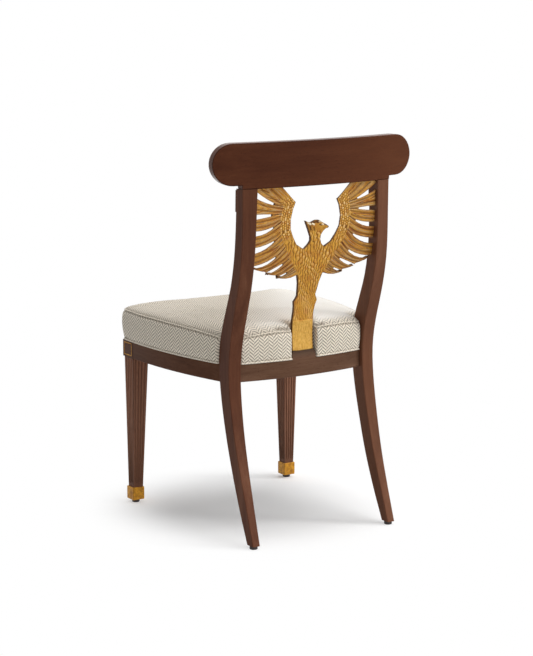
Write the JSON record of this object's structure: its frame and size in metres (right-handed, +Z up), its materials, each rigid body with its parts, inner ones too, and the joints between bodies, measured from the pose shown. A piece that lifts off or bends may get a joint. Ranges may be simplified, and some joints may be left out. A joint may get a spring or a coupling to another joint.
{
  "type": "dining chair",
  "caption": "Side chair with swept rear legs, wide curved crest rail, carved gilt bird splat and an upholstered herringbone seat on fluted front legs with gilt foot caps.",
  "frame": {"origin": "on the floor, under the middle of the chair's box in plan", "axes": "+Z up, -Y towards the front of the seat, +X towards the sitter's left"},
  "size_m": [0.5334, 0.5308, 0.915],
  "materials": {
    "mahogany": "satin lacquered dark mahogany",
    "gilt_wood": "carved wood with antiqued gold leaf",
    "gilt_metal": "antiqued gilt brass",
    "glide_nylon": "dark brown nylon",
    "herringbone_fabric": "cream and taupe herringbone weave",
    "seat_foam": "cut upholstery foam",
    "dust_cloth": "black bottom cloth",
    "secondary_wood": "unfinished beech and plywood",
    "steel": "zinc plated steel"
  },
  "bodies": {
    "root": {"rear_leg_left": "mahogany", "rear_leg_right": "mahogany", "front_leg_left": "mahogany", "front_leg_right": "mahogany", "side_rail_left": "mahogany", "side_rail_right": "mahogany", "front_rail": "mahogany", "rear_rail": "mahogany", "crest_rail": "mahogany", "splat": "gilt_wood", "foot_cap_left": "gilt_metal", "foot_cap_right": "gilt_metal", "gilt_string_outer_left": "gilt_metal", "gilt_string_outer_right": "gilt_metal", "gilt_string_front_left": "gilt_metal", "gilt_string_front_right": "gilt_metal", "rear_glide_left": "glide_nylon", "rear_glide_right": "glide_nylon", "front_glide_left": "glide_nylon", "front_glide_right": "glide_nylon", "seat_cover": "herringbone_fabric", "seat_welt": "herringbone_fabric", "seat_foam": "seat_foam", "seat_board": "secondary_wood", "dust_cover": "dust_cloth", "corner_block_front_left": "secondary_wood", "corner_block_front_right": "secondary_wood", "corner_block_rear_left": "secondary_wood", "corner_block_rear_right": "secondary_wood", "leg_screw_front_left": "steel", "leg_screw_front_right": "steel", "leg_screw_rear_left": "steel", "leg_screw_rear_right": "steel", "seat_screw_front_left": "steel", "seat_screw_front_right": "steel", "seat_screw_rear_left": "steel", "seat_screw_rear_right": "steel", "dowel_front_left_upper": "secondary_wood", "dowel_front_left_lower": "secondary_wood", "dowel_front_right_upper": "secondary_wood", "dowel_front_right_lower": "secondary_wood", "dowel_side_front_left_upper": "secondary_wood", "dowel_side_front_left_lower": "secondary_wood", "dowel_side_front_right_upper": "secondary_wood", "dowel_side_front_right_lower": "secondary_wood", "dowel_side_rear_left_upper": "secondary_wood", "dowel_side_rear_left_lower": "secondary_wood", "dowel_side_rear_right_upper": "secondary_wood", "dowel_side_rear_right_lower": "secondary_wood", "dowel_rear_left_upper": "secondary_wood", "dowel_rear_left_lower": "secondary_wood", "dowel_rear_right_upper": "secondary_wood", "dowel_rear_right_lower": "secondary_wood"}
  },
  "joints": []
}
